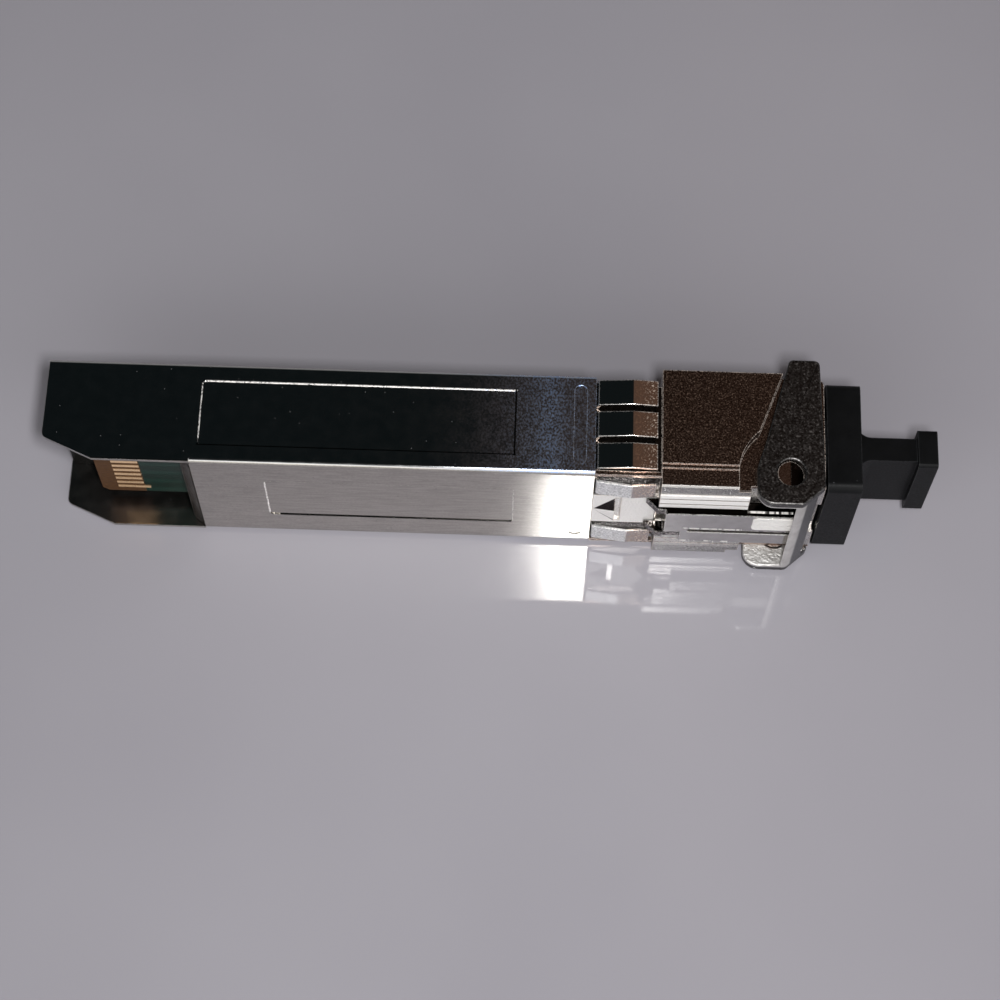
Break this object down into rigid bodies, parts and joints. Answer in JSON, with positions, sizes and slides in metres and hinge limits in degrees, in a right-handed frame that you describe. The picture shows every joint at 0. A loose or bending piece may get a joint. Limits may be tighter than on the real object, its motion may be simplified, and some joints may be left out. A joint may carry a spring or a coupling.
{
  "type": "sfp transceiver",
  "caption": "Pluggable optical transceiver: folded metal shell, spring-finger collar, die-cast nose with release bail and latch slide, card edge at the rear and a dust plug in its ports.",
  "frame": {"origin": "on the shell's centre line, level with the shoulder of the latch boss", "axes": "+X towards the fibre ports and dust plug, +Y towards the shell's roof, +Z across the width, up as the module lies on its side"},
  "size_m": [0.0704, 0.0124, 0.0144],
  "materials": {
    "nickel_sheet": "nickel-plated folded sheet, satin with a soft mirror",
    "spring_sheet": "nickel-plated spring bronze, bright",
    "cast_zinc": "nickel-plated zinc die-casting, coarse as-cast grain",
    "cast_zinc_dark": "nickel-plated zinc die-casting, dull and speckled",
    "slide_zinc": "nickel-plated die-casting, satin",
    "black_plug": "black moulded elastomer, fine matt",
    "green_board": "green solder mask on glass laminate",
    "gold_contacts": "hard gold plating",
    "chip_package": "black moulding compound",
    "soft_pad": "soft thermal pad",
    "capacitor_body": "brown ceramic chip",
    "small_steel": "plain steel",
    "turned_steel": "turned stainless steel",
    "white_ceramic": "white zirconia",
    "gilt_can": "gold-plated can",
    "amber_flex": "polyimide film"
  },
  "bodies": {
    "housing": {"sleeve": "nickel_sheet", "emi_collar": "spring_sheet", "nose_housing": "cast_zinc", "circuit_board": "green_board", "edge_contacts": "gold_contacts", "driver_chip": "chip_package", "controller_chip": "chip_package", "thermal_pad": "soft_pad", "board_capacitors": "capacitor_body", "board_screws": "small_steel", "tosa_receptacle": "turned_steel", "tosa_split_sleeve": "white_ceramic", "tosa_can": "gilt_can", "tosa_flex": "amber_flex", "rosa_receptacle": "turned_steel", "rosa_split_sleeve": "white_ceramic", "rosa_can": "gilt_can", "rosa_flex": "amber_flex", "osa_retainer": "small_steel", "return_spring": "small_steel"},
    "release_slide": {"latch_slider": "slide_zinc"},
    "bail_lever": {"bail": "cast_zinc_dark"},
    "plug": {"dust_plug": "black_plug"}
  },
  "joints": [
    {"name": "slide_release", "type": "slide", "parent": "housing", "child": "release_slide", "axis": [-1, 0, 0], "range_m": [0, 0.00031], "stiffness_N_per_m": 150, "deforming": ["return_spring"]},
    {"name": "bail_hinge", "type": "hinge", "parent": "housing", "child": "bail_lever", "pos_m": [0.01343, -0.0036, 0], "axis": [0, 0, -1], "range_deg": [0, 14]},
    {"name": "plug_pull", "type": "slide", "parent": "housing", "child": "plug", "axis": [1, 0, 0], "range_m": [0, 0.01]}
  ],
  "couplings": [
    {"joint": "bail_hinge", "follows": "slide_release", "rad_per_m": 788.2}
  ]
}
